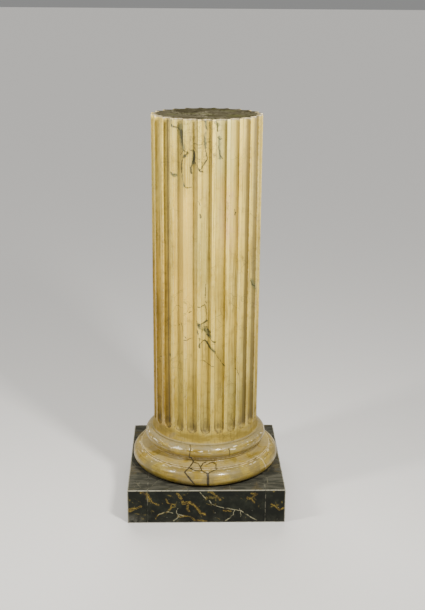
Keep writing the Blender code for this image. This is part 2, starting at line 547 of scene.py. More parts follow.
def base_profile():
    """The turned base's side, bottom to top: torus, fillet, scotia, fillet, torus."""
    upper_fillet = SHAFT_RADIUS + UPPER_FILLET_PROJECTION
    lower_fillet = upper_fillet + SCOTIA_SPREAD
    lower_half = LOWER_TORUS_HEIGHT / 2
    upper_half = UPPER_TORUS_HEIGHT / 2
    scotia_bottom = BASE_BOTTOM + LOWER_TORUS_HEIGHT + LOWER_FILLET_HEIGHT
    scotia_top = scotia_bottom + SCOTIA_HEIGHT
    throat = scotia_bottom + SCOTIA_HEIGHT * SCOTIA_THROAT_SHARE
    throat_radius = upper_fillet - SCOTIA_DEPTH
    torus_centre = scotia_top + UPPER_FILLET_HEIGHT + upper_half
    lower_torus = arc(
        (lower_fillet, BASE_BOTTOM + lower_half),
        lower_half,
        lower_half,
        math.radians(-90),
        math.radians(90),
        TORUS_STEPS,
    )
    scotia = arc(
        (lower_fillet, throat),
        lower_fillet - throat_radius,
        throat - scotia_bottom,
        math.radians(-90),
        math.radians(-180),
        SCOTIA_STEPS,
    )
    curl = arc(
        (upper_fillet, throat),
        SCOTIA_DEPTH,
        scotia_top - throat,
        math.radians(180),
        math.radians(90),
        CURL_STEPS,
    )
    start = -math.acos((upper_fillet - FOOT_FILLET_RADIUS) / upper_half)
    upper_torus = arc(
        (FOOT_FILLET_RADIUS, torus_centre),
        upper_half,
        upper_half,
        start,
        math.radians(90),
        TORUS_STEPS,
    )
    return lower_torus + scotia + curl[1:] + upper_torus


def make_base(paint):
    """The turned base, with a map of metres round it and metres along its profile."""
    outline = base_profile()
    lengths = [0.0]
    for (r0, z0), (r1, z1) in zip(outline, outline[1:]):
        lengths.append(lengths[-1] + math.hypot(r1 - r0, z1 - z0))
    bm = bmesh.new()
    unrolled = bm.loops.layers.uv.new("unrolled")
    grid = []
    for side in range(BASE_SIDES):
        angle = FRONT + 2 * math.pi * side / BASE_SIDES
        grid.append(
            [bm.verts.new((r * math.cos(angle), r * math.sin(angle), z)) for r, z in outline]
        )
    for side in range(BASE_SIDES):
        after = (side + 1) % BASE_SIDES
        for i in range(len(outline) - 1):
            corners = (grid[side][i], grid[after][i], grid[after][i + 1], grid[side][i + 1])
            face = bm.faces.new(corners)
            turned = side if side < BASE_SIDES / 2 else side - BASE_SIDES
            spots = ((turned, i), (turned + 1, i), (turned + 1, i + 1), (turned, i + 1))
            for loop, (column, level) in zip(face.loops, spots):
                around = 2 * math.pi * column / BASE_SIDES * BASE_MAP_RADIUS
                loop[unrolled].uv = (around, lengths[level])
    for level in (0, -1):
        height = outline[level][1]
        centre = bm.verts.new((0, 0, height))
        for side in range(BASE_SIDES):
            after = (side + 1) % BASE_SIDES
            bm.faces.new((grid[side][level], grid[after][level], centre))
    base = mesh_object("turned_base", bm, paint)
    base.data.set_sharp_from_angle(angle=SHARP_ON_BASE)
    return base


# Plinth
OUTER_ROUND = 0.0018
SEAM_ROUND = 0.0006
BOARD_CELL = 0.009
CHIP_SCALE = 45.0
CHIP_RARITY = 0.25
CHIP_SIZE = 2.2


def spaced(low, high, cell, rounding):
    """Grid lines from low to high, close together at both ends."""
    near = [0, rounding * 0.35, rounding * 0.7, rounding, rounding * 2]
    inner_low, inner_high = low + near[-1], high - near[-1]
    count = max(1, round((inner_high - inner_low) / cell))
    middle = [inner_low + (inner_high - inner_low) * i / count for i in range(1, count)]
    return [low + n for n in near] + middle + [high - n for n in reversed(near)]


def make_board(name, node, paint):
    """A board with rounded, slightly chipped edges. Seam edges are sharper than outer ones."""
    low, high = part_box(node)
    lines = [spaced(low[i], high[i], BOARD_CELL, OUTER_ROUND) for i in range(3)]
    bm = bmesh.new()
    found = {}

    def corner(place):
        if place not in found:
            found[place] = bm.verts.new(place)
        return found[place]

    for axis in range(3):
        across, up = [i for i in range(3) if i != axis]
        for end in (lines[axis][0], lines[axis][-1]):
            for a0, a1 in zip(lines[across], lines[across][1:]):
                for u0, u1 in zip(lines[up], lines[up][1:]):
                    square = []
                    for a, u in ((a0, u0), (a1, u0), (a1, u1), (a0, u1)):
                        place = [0, 0, 0]
                        place[axis], place[across], place[up] = end, a, u
                        square.append(corner(tuple(place)))
                    bm.faces.new(square)
    for vert in bm.verts:
        spot = vert.co.copy()
        at_seam = abs(abs(spot.x) - SEAM_PLACE) < OUTER_ROUND * 2.1
        chip = max(0.0, noise.noise(spot * CHIP_SCALE) - CHIP_RARITY) * CHIP_SIZE
        rounding = (SEAM_ROUND if at_seam else OUTER_ROUND) * (1 + chip)
        inner = Vector([min(max(spot[i], low[i] + rounding), high[i] - rounding) for i in range(3)])
        away = spot - inner
        if away.length > 1e-9:
            vert.co = inner + away.normalized() * min(rounding, away.length)
    return mesh_object(name, bm, paint)


# Yellow marble, in linear colour
CREAM = (0.680, 0.500, 0.080)
PALE_CREAM = (0.700, 0.560, 0.150)
OCHRE = (0.450, 0.315, 0.032)
DEEP_OCHRE = (0.225, 0.152, 0.018)
PINK_CLOUD = (0.620, 0.425, 0.115)
GREEN_TINT = (0.400, 0.375, 0.120)
GREENISH_CREAM = (0.50, 0.51, 0.22)
PINKISH_CREAM = (0.64, 0.40, 0.16)
WARM_CREAM = (0.83, 0.56, 0.085)
SCOTIA_CREAM = (0.46, 0.36, 0.15)
LAVENDER = (0.262, 0.223, 0.123)
FOOT_OCHRE = (0.255, 0.180, 0.026)
FOOT_LAVENDER = (0.215, 0.172, 0.098)

# Its veins, dirt and wear, and colours for painted shade and painted glints
STAIN_GREEN = (0.105, 0.105, 0.038)
VEIN_GREEN = (0.030, 0.030, 0.011)
CRACK_BROWN = (0.0231, 0.01694, 0.0077)
SHADE_BROWN = (0.100, 0.075, 0.026)
HOLLOW_SHADE_OLIVE = (0.200, 0.165, 0.055)
NOSE_GREY = (0.128, 0.106, 0.066)
TOP_SHADE_BROWN = (0.05775, 0.04774, 0.02618)
WORN_CREAM = (0.693, 0.570, 0.323)
GLINT_CREAM = (0.80, 0.72, 0.50)
LOW_SHADE_TINT = (0.740, 0.720, 0.600)
LEFT_SHADE_TINT = (0.80, 0.70, 0.48)
BASE_DARKENING_TINT = (0.575, 0.55, 0.475)

# The bare top
WOOD_SHADE = (0.050, 0.043, 0.024)
WOOD_GREY = (0.092, 0.082, 0.050)
WOOD_MOSS = (0.105, 0.108, 0.036)
WOOD_DUST = (0.24, 0.215, 0.140)
WOOD_GRAIN = (0.026, 0.021, 0.011)
RIM_CREAM = (0.62, 0.55, 0.36)

# Black marble
BLACK_GREEN = (0.0045, 0.0058, 0.0035)
GREEN_CLOUD = (0.0150, 0.0180, 0.0110)
GOLD = (0.330, 0.245, 0.040)
DARK_GOLD = (0.085, 0.052, 0.010)
WHITE_VEIN = (0.34, 0.32, 0.20)
GREY_DUST = (0.080, 0.077, 0.058)
CORNER_DUST = (0.19, 0.185, 0.145)
WORN_GREY = (0.368, 0.352, 0.272)

# Heights on the shaft between which one kind of paint or painted shade gives way to the next
FOOT_END = (0.226, 0.240)
FLUTES_START = (0.236, 0.246)
LOW_SHADE_END = (0.24, 0.56)
HIGH_PART = (0.62, 0.98)
# The line of painted shade down one flute at the left, as an angle from the front
DARK_LINE = -0.864

# Bands of the base, in metres along its profile from the underside
LOWER_TORUS_UNDERSIDE = (0.002, 0.014)
LOWER_TORUS_SHOULDER = (0.0590, 0.0690)
LOWER_TORUS_EDGE = (0.0715, 0.0735)
LOWER_FILLET_EDGE = (0.0770, 0.0785)
SCOTIA_BAND = (0.080, 0.112)
UPPER_FILLET_LOW_EDGE = (0.1140, 0.1152)
UPPER_FILLET_HIGH_EDGE = (0.1200, 0.1212)
UPPER_TORUS_UNDERSIDE = (0.1205, 0.131)
UPPER_TORUS_SHOULDER = (0.1470, 0.1560)
UPPER_TORUS_TOP = (0.157, 0.170)

# Strokes on the shaft: half width in mm, then degrees round from the front and mm up
SHAFT_VEINS = (
    (1.6, ((-38, 1066), (-36.5, 1061), (-34.5, 1058))),
    (0.9, ((-33, 1058), (-31, 1048), (-31, 1030), (-29, 1020))),
    (3.4, ((-29.5, 1050), (-28, 1036), (-29, 1022), (-27, 1009))),
    (1.5, ((-31, 1040), (-30, 1026), (-28, 1014))),
    (1.2, ((-27.5, 1009), (-25, 1003), (-22, 1000), (-21, 995), (-23, 991))),
    (3.0, ((-23, 991), (-25, 987), (-27, 982))),
    (1.3, ((-27, 982), (-29, 976), (-30.5, 962), (-30.5, 945), (-28, 936))),
    (0.9, ((-28, 936), (-26, 922), (-24.5, 915), (-21, 908), (-18, 910))),
    (0.9, ((-25, 1003), (-29, 998), (-31, 990))),
    (0.9, ((-38.5, 942), (-35.5, 938))),
    (0.9, ((-43, 956), (-41, 948), (-38, 944))),
    (2.6, ((-15, 1000), (-14.7, 990), (-15, 980))),
    (1.6, ((-15, 980), (-17, 972), (-18.5, 960), (-18, 945))),
    (1.0, ((-19, 1003), (-17, 1005), (-15, 1000))),
    (1.4, ((-15, 977), (-13, 968), (-10, 961), (-9, 954), (-6, 950))),
    (0.8, ((-14, 984), (-9, 985), (-7, 980), (-6, 968), (-7, 958))),
    (0.8, ((-16, 1021), (-10, 1019), (-6, 1021))),
    (1.0, ((-3, 1076), (-2.3, 1066), (-1, 1056))),
    (0.9, ((-4, 1040), (-3.5, 1025), (-3, 1008), (-1.5, 998))),
    (1.4, ((-1.5, 998), (-0.5, 988), (-0.5, 981))),
    (1.6, ((-0.5, 981), (-2, 976), (-3.5, 970))),
    (0.9, ((-3.5, 970), (-6, 962), (-9, 954))),
    (1.5, ((10, 1064), (10, 1052))),
    (1.1, ((7, 1078), (9.5, 1074), (10, 1064))),
    (0.9, ((11, 1036), (13, 1030), (15, 1032))),
    (1.2, ((12.5, 1012), (13, 1000), (13, 990), (15.5, 984))),
    (0.8, ((22, 890), (27, 868), (31, 850), (32, 835))),
    (0.8, ((-10, 880), (-8, 872), (-7, 866))),
    (1.7, ((-7, 842), (-6.5, 835))),
    (0.8, ((50, 836), (55, 828), (60, 822))),
    (1.3, ((-1.6, 625), (-1.6, 617))),
    (0.8, ((-2, 655), (-1.6, 625), (-2, 608), (-1, 602))),
    (1.0, ((-10, 597), (-6, 595), (-3, 598), (-2, 590))),
    (0.8, ((-2, 590), (-0.8, 575), (-0.6, 556))),
    (0.9, ((-26, 573), (-21, 574), (-18, 579))),
    (0.9, ((-25, 500), (-21, 501), (-18, 503))),
    (0.9, ((58, 665), (61, 650), (66, 622))),
    (1.0, ((66, 578), (72, 572), (78, 567))),
    (1.2, ((-11, 552), (-9.5, 544), (-7.5, 543))),
    (1.2, ((-8, 547), (-5, 546.5), (-2.8, 549))),
    (2.1, ((-2.8, 549), (-1.2, 552), (0, 553))),
    (1.4, ((-3.5, 545), (-2.7, 532), (-2.2, 522))),
    (2.3, ((-10.2, 528), (-9.8, 522))),
    (0.9, ((-5.5, 532), (-5.4, 522))),
    (1.2, ((-2, 537), (0.3, 537), (0.9, 530))),
    (2.1, ((0.9, 530), (2, 526), (3.5, 523))),
    (1.8, ((0.3, 515), (2, 513))),
    (1.0, ((2, 513), (4, 506), (6.5, 499.5))),
    (1.9, ((6.5, 499.5), (8, 497), (9, 495))),
    (1.5, ((-7.6, 484), (-7.7, 493), (-5.5, 496), (-2.5, 500), (0, 495))),
    (2.1, ((0, 495), (1.3, 489), (2.6, 485), (4, 478))),
    (1.2, ((4, 478), (7, 472), (10, 466))),
    (0.8, ((10, 466), (12, 452), (15, 444), (19, 428))),
    (0.9, ((-7.5, 510), (-8, 496))),
    (0.9, ((-7, 445), (-3.5, 441), (-1, 437), (2, 432), (7, 428))),
    (0.9, ((-44, 527), (-40, 533), (-33, 535))),
    (0.8, ((-31, 540), (-28, 520), (-22, 506))),
    (1.4, ((-66, 425), (-60, 434))),
    (0.8, ((33, 414), (36, 400), (37, 380))),
)
# Broad soft stains beside the veins, drawn in the same way
SHAFT_STAINS = (
    (8.0, ((-30.0, 1060), (-29.0, 1040), (-29.0, 1022), (-27, 1010))),
    (3.0, ((-39, 1078), (-38, 1064))),
    (3.5, ((-16, 1000), (-16, 970))),
    (3.0, ((-2.5, 1076), (-1.5, 1058), (-3, 1036), (-3, 1012))),
    (3.5, ((7, 1077), (11, 1068))),
    (3.0, ((12.5, 1036), (13, 1010), (13, 985))),
    (3.0, ((-40, 945), (-36, 938))),
    (3.5, ((-29, 935), (-25, 915))),
    (5.0, ((-9, 545), (-1, 528), (3, 512))),
    (3.0, ((62, 650), (68, 606))),
    (4.5, ((-47, 441), (-42, 438))),
    (3.0, ((2, 488), (9, 466))),
)
# Cracks in the base: half width in mm, then degrees round and mm up the profile
BASE_CRACKS = (
    (3.2, ((-16.2, 121), (-15.9, 127))),
    (1.0, ((-17, 169), (-15.2, 154), (-16, 127))),
    (0.9, ((21.5, 152), (23.2, 121))),
    (1.5, ((-16, 124), (-13.2, 103), (-14.5, 80))),
    (1.1, ((-13.2, 103), (-8, 99), (-6, 88), (-3.7, 66))),
    (1.6, ((-14.5, 80), (-17.5, 58), (-13.2, 43), (-8.8, 23))),
    (1.4, ((-15, 76), (-9.5, 66), (-3.7, 66), (1, 56.5))),
    (1.2, ((-5.5, 77), (-3.2, 101), (-0.2, 105))),
    (2.4, ((1, 56.5), (1, 40), (1, 21))),
    (1.2, ((1, 56.5), (5.2, 65.5), (9, 73))),
    (1.1, ((0, 94), (5.8, 104), (9.2, 96), (8, 76))),
)
BASE_SCRATCH = ((1.3, ((50.5, 84), (53.2, 66.5), (52.5, 49), (55, 20))),)
# Veins on the plinth's front: half width in mm, then mm from the middle and mm up
PLINTH_GOLD = (
    (4.2, ((-214, 39), (-202, 44), (-191, 43), (-179, 49))),
    (3.0, ((-212, 34), (-196, 39))),
    (5.3, ((-177, 93), (-161, 85), (-154, 73))),
    (3.5, ((-154, 73), (-147, 62), (-131, 56))),
    (3.0, ((-109, 73), (-105, 60), (-96, 57), (-98, 44), (-109, 33))),
    (2.7, ((-109, 33), (-131, 26), (-138, 13))),
    (2.7, ((-96, 57), (-84, 56))),
    (5.1, ((-80, 88), (-70, 75), (-63, 60), (-45, 62))),
    (5.1, ((-50, 60), (-33, 55), (-26, 42), (-15, 29), (-3, 24))),
    (3.7, ((-50, 57), (-52, 42), (-47, 34))),
    (3.8, ((-77, 21), (-45, 20), (-31, 8), (-1, 5))),
    (4.2, ((11, 93), (22, 85), (38, 71))),
    (4.3, ((110, 75), (124, 73), (129, 62))),
    (3.8, ((122, 88), (136, 85), (124, 73))),
    (3.8, ((177, 56), (189, 47), (198, 39), (213, 44))),
    (3.5, ((48, 37), (66, 34))),
)
PLINTH_WHITE = (
    (2.2, ((8, 67), (13, 57), (29, 50), (76, 39), (94, 35), (113, 21), (138, 6))),
    (1.7, ((-19, 93), (-3, 75))),
    (2.0, ((76, 37), (73, 24), (52, 6))),
    (1.5, ((94, 35), (94, 13))),
    (2.0, ((-77, 44), (-82, 31), (-75, 21), (-91, 6))),
    (1.7, ((-131, 26), (-109, 34), (-82, 29), (-63, 21))),
)

# The turned pieces' strokes fade out over their width, so they are laid this much wider.
STROKE_SPREAD = 1.75


def on_unrolled(strokes, radius):
    """Strokes in degrees and mm, laid out in metres on the unrolled surface of that radius."""
    return [
        (width * STROKE_SPREAD / 1000, [(math.radians(a) * radius, h / 1000) for a, h in points])
        for width, points in strokes
    ]


def in_metres(strokes):
    return [(w / 1000, [(x / 1000, h / 1000) for x, h in points]) for w, points in strokes]


def marbled_ground(paint, drawn_out):
    """Cream, ochre and pink clouds, with fine streaks on the drawn-out place."""
    tall = paint.stretched(paint.place, 1, 1, 0.45)
    p = paint.warped(tall, 6.0, 0.03, 3)
    cloud = paint.noise(p, 9.0, 4.0, 0.55)
    second = paint.noise(paint.moved(p, 3.1, 1.7, 0.4), 13.0, 4.0, 0.6)
    mottle = paint.noise(paint.warped(paint.place, 30.0, 0.008), 55.0, 5.0, 0.62)
    streak = paint.noise(drawn_out, 210.0, 3.0, 0.6)
    tint = paint.noise(paint.moved(p, 8.2, 0.6, 5.3), 8.0, 3.0, 0.5)
    paint.colour = paint.mix(cloud.rise(0.36, 0.62), OCHRE, CREAM)
    paint.lay(second.rise(0.52, 0.72) * 0.75, PALE_CREAM)
    paint.lay(second.fall(0.30, 0.44) * 0.6, PINK_CLOUD)
    paint.lay(tint.rise(0.50, 0.66) * 0.38, GREEN_TINT)
    paint.lay(mottle.rise(0.50, 0.74) * 0.55, DEEP_OCHRE)
    paint.lay(mottle.fall(0.28, 0.46) * 0.30, PALE_CREAM)
    paint.lay(streak.rise(0.51, 0.64) * 0.62, DEEP_OCHRE)
    paint.lay(streak.fall(0.34, 0.46) * 0.50, PALE_CREAM)
    return cloud, mottle, streak


def cell_edges(paint, place, scale):
    """The distance to the nearest edge of a pattern of cells."""
    sockets = {"Vector": place, "Scale": scale, "Randomness": 1.0}
    return paint.node("ShaderNodeTexVoronoi", {"feature": "DISTANCE_TO_EDGE"}, sockets)


def hair_veins(paint, scale, thinness, seed, patches=None):
    """A thin network, as of fine veins in marble, that shows in patches: 1 on a vein."""
    place = paint.moved(paint.place, *seed)
    if patches is None:
        patches = paint.noise(place, 12.0, 2.0).rise(0.48, 0.66)
    edges = cell_edges(paint, paint.warped(place, 20.0, 0.02, 4), scale)
    return edges.fall(0.0, thinness) * patches


def flute_places(paint, around):
    """Depth below the round face, distance to a flute's edge, and a mask of each right wall."""
    depth = SHAFT_RADIUS - paint.from_axis()
    angle = around - hand_spacing(around) - SHAFT_TURN
    from_middle = (angle / FLUTE_PITCH_ANGLE + 0.5).fraction() - 0.5
    length = abs(from_middle) * (FLUTE_PITCH_ANGLE * SHAFT_RADIUS)
    to_edge = abs(length - FLUTE_HALF_ANGLE * SHAFT_RADIUS)
    right_wall = (from_middle * (FLUTE_PITCH_ANGLE / FLUTE_HALF_ANGLE)).rise(0.62, 0.86)
    return depth, to_edge, right_wall


def shaft_paint():
    paint = Paint("yellow marble paint on the shaft")
    cloud, mottle, streak = marbled_ground(paint, paint.stretched(paint.place, 1, 1, 0.03))
    unrolled = paint.unrolled_shaft()
    breaks = paint.noise(unrolled, 110.0, 3.0, 0.6)
    around = paint.parts(unrolled)[0] / SHAFT_RADIUS
    depth, to_edge, right_wall = flute_places(paint, around)
    fluted = paint.z.rise(*FLUTES_START)
    foot = paint.z.fall(*FOOT_END)
    high_up = paint.z.rise(*HIGH_PART)

    # Clouds that lie in one place each
    greenish = around.between(0.06, 0.22, 0.42, 0.62) * paint.z.rise(0.90, 0.97)
    paint.lay(greenish * cloud.rise(0.30, 0.60) * 0.45, GREENISH_CREAM)
    pinkish = around.between(0.20, 0.34, 0.48, 0.62) * paint.z.between(0.70, 0.80, 0.88, 0.96)
    paint.lay(pinkish * mottle.rise(0.35, 0.60) * 0.5, PINKISH_CREAM)
    warm = around.between(-0.70, -0.55, -0.36, -0.20) * paint.z.between(0.42, 0.60, 0.86, 0.94)
    paint.lay(warm * 0.6, WARM_CREAM)

    # Painted shade in the flutes' hollows, darkest on their right walls, most of all in the flutes
    # at the right
    hollow = depth.rise(0.002, 0.013) * fluted
    paint.lay(hollow * (high_up * 0.16 + 0.22), HOLLOW_SHADE_OLIVE)
    turned_away = around.between(0.48, 0.72, 1.25, 1.45)
    corner = right_wall * depth.rise(0.0006, 0.0020) * fluted
    paint.lay(corner * (turned_away * 0.8).most(high_up * 0.42 + 0.10), SHADE_BROWN)

    # Stains under the veins, painted shade on the left side, and a line of painted shade in one
    # flute
    spot = paint.warped(paint.warped(unrolled, 25.0, 0.004), 130.0, 0.0027, 4)
    stains = stroke_nearness(paint, spot, on_unrolled(SHAFT_STAINS, SHAFT_RADIUS))
    paint.lay(stains.rise(0.0, 0.6) * (mottle.rise(0.30, 0.56) * 0.6 + 0.3), STAIN_GREEN)
    # Painted shade: the left side is darkened, fading out above 0.6 m
    paint.glaze(around.fall(-0.88, -0.60) * paint.z.fall(0.60, 0.95) * 0.75, LEFT_SHADE_TINT)
    # Painted shade: a dark line down the left wall of one flute at the left
    dark_line = abs(around - DARK_LINE).fall(0.008, 0.017) * depth.rise(0.0004, 0.0015)
    paint.lay(dark_line * fluted * breaks.rise(0.20, 0.44) * 0.75, SHADE_BROWN)

    # The smudged foot, the dabs of grey in the flutes' noses, and painted shade that darkens the
    # lower part
    ring_wise = paint.stretched(unrolled, 0.35, 1, 1)
    smudge = paint.noise(paint.warped(ring_wise, 24.0, 0.012, 3), 46.0, 4.0, 0.6)
    paint.lay(foot * smudge.fall(0.44, 0.66) * 0.85, FOOT_OCHRE)
    paint.lay(foot * smudge.rise(0.50, 0.66) * 0.65, FOOT_LAVENDER)
    nose_line = FLUTES_START[1] + mottle * 0.050 - (streak - 0.5) * 0.06
    in_nose = (paint.z - nose_line).fall(-0.022, 0.010) * depth.rise(0.0002, 0.005)
    paint.lay(in_nose * (streak.rise(0.36, 0.60) * 0.5 + 0.3) * 0.85, NOSE_GREY)
    # Painted shade: the shaft darkens towards the bottom
    paint.glaze(paint.z.fall(*LOW_SHADE_END) * 0.85, LOW_SHADE_TINT)
    paint.lay(paint.z.fall(SHAFT_BOTTOM + 0.0035, SHAFT_BOTTOM + 0.006) * 0.6, LAVENDER)

    # Fine veins, closer together high on the front, and the drawn ones
    paint.lay(hair_veins(paint, 34.0, 0.035, (5.0, 2.0, 1.0)) * 0.5, VEIN_GREEN)
    crowded = around.between(-0.75, -0.35, 0.10, 0.42) * paint.z.rise(0.93, 0.98)
    patches = crowded * mottle.rise(0.34, 0.52)
    paint.lay(hair_veins(paint, 55.0, 0.055, (1.0, 3.0, 6.0), patches) * 0.55, VEIN_GREEN)
    veins = stroke_nearness(paint, spot, on_unrolled(SHAFT_VEINS, SHAFT_RADIUS)).rise(0.0, 0.55)
    paint.lay(veins * breaks.rise(0.24, 0.44) * 0.95, VEIN_GREEN)

    # Painted shade just under the top's edge inside the flutes, specks, wear on the top's edge, and
    # lighter flute edges that are partly wear and partly painted highlight
    # Painted shade: the flutes darken just under the top's edge
    top_edge_shade = paint.z.rise(SHAFT_TOP - 0.0050, SHAFT_TOP - 0.0025) * depth.rise(0.0015, 0.0035)
    paint.lay(top_edge_shade * breaks.rise(0.2, 0.45) * 0.9, TOP_SHADE_BROWN)
    paint.lay(paint.noise(paint.place, 240.0, 2.0, 0.5).rise(0.72, 0.78) * 0.55, DEEP_OCHRE)
    # The flutes' edges are lighter, partly as wear and partly as painted highlight
    worn = to_edge.fall(0.0003, 0.0016) * depth.fall(0.001, 0.003) * fluted
    worn = worn * breaks.rise(0.38, 0.62) * cloud.rise(0.28, 0.5)
    top_wear = paint.z.rise(SHAFT_TOP - 0.0045, SHAFT_TOP - 0.0012) * breaks.rise(0.30, 0.52)
    paint.lay((worn * 0.6).most(top_wear * 0.55) * 0.75, WORN_CREAM)

    dull = foot.most(in_nose)
    roughness = 0.36 + mottle * 0.25 + hollow * 0.1 + dull * 0.25
    fine = paint.noise(paint.place, 420.0, 2.0)
    relief = mottle * 0.4 + streak * 0.3 + fine * 0.3 - veins * 0.2
    varnish = (0.20 - hollow * 0.12) * (1 - dull)
    return paint.finish(roughness, relief, 0.0007, varnish, coat_roughness=0.25, specular=0.35)


def base_paint():
    paint = Paint("yellow marble paint on the base")
    unrolled = paint.node("ShaderNodeUVMap", {"uv_map": "unrolled"})
    cloud, mottle, streak = marbled_ground(paint, paint.stretched(unrolled, 0.08, 1, 1))
    level = paint.parts(unrolled)[1]
    breaks = paint.noise(paint.place, 120.0, 3.0, 0.6)
    grime = paint.noise(paint.warped(paint.place, 18.0, 0.02), 26.0, 5.0, 0.6)

    def band(ends, soft=0.004):
        return level.between(ends[0] - soft, ends[0], ends[1], ends[1] + soft)

    # Lavender and ochre clouds, turned lines, and shade where the mouldings turn under
    paint.lay(grime.rise(0.40, 0.60) * 0.65, LAVENDER)
    paint.lay(grime.fall(0.34, 0.46) * 0.40, DEEP_OCHRE)
    # The whole base is darkened and greyed by a multiplied tint
    paint.colour = paint.mix(1.0, paint.colour, BASE_DARKENING_TINT, "MULTIPLY")
    turned = paint.noise(paint.stretched(unrolled, 0.06, 1, 1), 420.0, 3.0, 0.6)
    paint.lay(turned.rise(0.48, 0.66) * 0.42, DEEP_OCHRE)
    paint.lay(band(UPPER_TORUS_UNDERSIDE, 0.003) * 0.5, DEEP_OCHRE)
    paint.lay(band(LOWER_TORUS_UNDERSIDE, 0.010) * 0.6, DEEP_OCHRE)
    paint.lay(band(UPPER_TORUS_TOP) * breaks.rise(0.30, 0.55) * 0.6, LAVENDER)
    paint.lay(band(SCOTIA_BAND) * grime.rise(0.36, 0.56) * 0.45, SCOTIA_CREAM)
    paint.lay(hair_veins(paint, 40.0, 0.03, (2.0, 7.0, 3.0)) * 0.5, VEIN_GREEN)

    # Edges lighter as wear and painted highlight, painted glints on the tori's shoulders, one
    # scratch and the cracks
    # The fillets' and torus's edges are lighter, partly as wear and partly as painted highlight
    edges = band(LOWER_TORUS_EDGE, 0.0012).most(band(LOWER_FILLET_EDGE, 0.0012))
    edges = edges.most(band(UPPER_FILLET_LOW_EDGE, 0.0010))
    edges = edges.most(band(UPPER_FILLET_HIGH_EDGE, 0.0010))
    paint.lay(edges * breaks.rise(0.34, 0.56) * 0.7, WORN_CREAM)
    # Painted glints: broken pale specks along the tori's shoulders
    glint_breaks = paint.noise(paint.stretched(unrolled, 0.35, 1, 1), 150.0, 3.0, 0.6)
    raised = band(UPPER_TORUS_SHOULDER, 0.003).most(band(LOWER_TORUS_SHOULDER) * 0.45)
    paint.lay(raised * glint_breaks.rise(0.56, 0.63) * 0.9, GLINT_CREAM)
    spot = paint.warped(unrolled, 90.0, 0.0022, 4)
    scratch = stroke_nearness(paint, spot, on_unrolled(BASE_SCRATCH, BASE_MAP_RADIUS))
    paint.lay(scratch * 0.8, WORN_CREAM)
    cracks = stroke_nearness(paint, spot, on_unrolled(BASE_CRACKS, BASE_MAP_RADIUS))
    cracks = cracks.rise(0.0, 0.6)
    paint.lay(cracks * 0.95, CRACK_BROWN)

    dirty = grime.rise(0.45, 0.7)
    roughness = 0.24 + mottle * 0.22 + dirty * 0.2
    chatter = paint.noise(paint.warped(paint.place, 60.0, 0.006), 85.0, 3.0, 0.55)
    relief = mottle * 0.25 + grime * 0.4 + chatter * 0.7 + turned * 0.12 - cracks * 0.9
    varnish = 0.42 - dirty * 0.25
    return paint.finish(roughness, relief, 0.0014, varnish, coat_roughness=0.10, specular=0.30)


def top_dust():
    paint = Paint("dusty bare top")
    p = paint.warped(paint.place, 14.0, 0.02, 3)
    blotch = paint.noise(p, 18.0, 5.0, 0.6)
    grain = paint.noise(paint.stretched(paint.place, 1, 0.25, 1), 140.0, 4.0, 0.65)
    pale = paint.noise(paint.moved(p, 1.3, 4.2, 0), 26.0, 5.0, 0.65)
    mossy = paint.noise(paint.moved(p, 7.3, 0.2, 0), 14.0, 4.0, 0.6)
    paint.colour = paint.mix(blotch.rise(0.34, 0.62), WOOD_SHADE, WOOD_GREY)
    paint.lay(mossy.rise(0.46, 0.68) * 0.5, WOOD_MOSS)
    paint.lay(pale.rise(0.50, 0.66) * grain.fall(0.40, 0.60) * 0.8, WOOD_DUST)
    paint.lay(grain.rise(0.50, 0.70) * 0.55, WOOD_GRAIN)
    rim = paint.from_axis().rise(0.1435, 0.1465) * grain.rise(0.30, 0.55)
    paint.lay(rim * 0.75, RIM_CREAM)
    return paint.finish(0.85 + grain * 0.1, blotch * 0.5 + grain * 0.5, 0.0015, specular=0.0)


def lay_marble_veins(paint, p, mottle, breaks, front, on_top):
    """Gold and white veins: drawn strokes on the front, and networks on the other sides."""
    swell = paint.noise(paint.place, 22.0, 2.0)

    def network(scale, width, seed):
        edges = cell_edges(paint, paint.moved(p, *seed), scale)
        return (1 - edges / (width * swell.rise(0.42, 0.66) + 0.0001)).clamped()

    face = paint.warped(paint.combine(paint.x, paint.z), 38.0, 0.0045, 3)
    face = paint.warped(face, 110.0, 0.0026, 4)
    gold = stroke_nearness(paint, face, in_metres(PLINTH_GOLD)) * front
    gold = gold.most(network(9.0, 0.15, (0, 0, 0)) * (1 - front))
    white = stroke_nearness(paint, face, in_metres(PLINTH_WHITE)) * front
    white = white.most(network(14.0, 0.030, (4, 1, 2)) * (1 - front))

    # A gold vein is a dark bed with a strand in its middle and a thinner one along its edge.
    ragged = paint.noise(paint.warped(paint.place, 90.0, 0.006, 3), 170.0, 4.0, 0.75)
    gap = paint.noise(paint.moved(paint.place, 2.0, 5.0, 1.0), 75.0, 3.0, 0.6)
    bed = gold.rise(0.05, 0.6) * ragged.rise(0.36, 0.52) * (0.75 - on_top * 0.45)
    middle = gold.rise(0.74, 0.90) * gap.rise(0.36, 0.48)
    outer = gold.between(0.22, 0.34, 0.40, 0.52) * gap.fall(0.46, 0.56)
    hairs = network(26.0, 0.085, (1, 3, 5)) * gap.rise(0.46, 0.58) * mottle.rise(0.44, 0.56)
    strands = middle.most(outer * 0.8).most(hairs * 0.56) * (1 - on_top * 0.85)
    paint.lay(bed, DARK_GOLD)
    paint.lay(strands * (0.55 + ragged.rise(0.4, 0.6) * 0.45), GOLD)
    white = white.rise(0.1, 0.8) * breaks.rise(0.18, 0.36) * (1 - on_top * 0.6)
    paint.lay(white * 0.75, WHITE_VEIN)


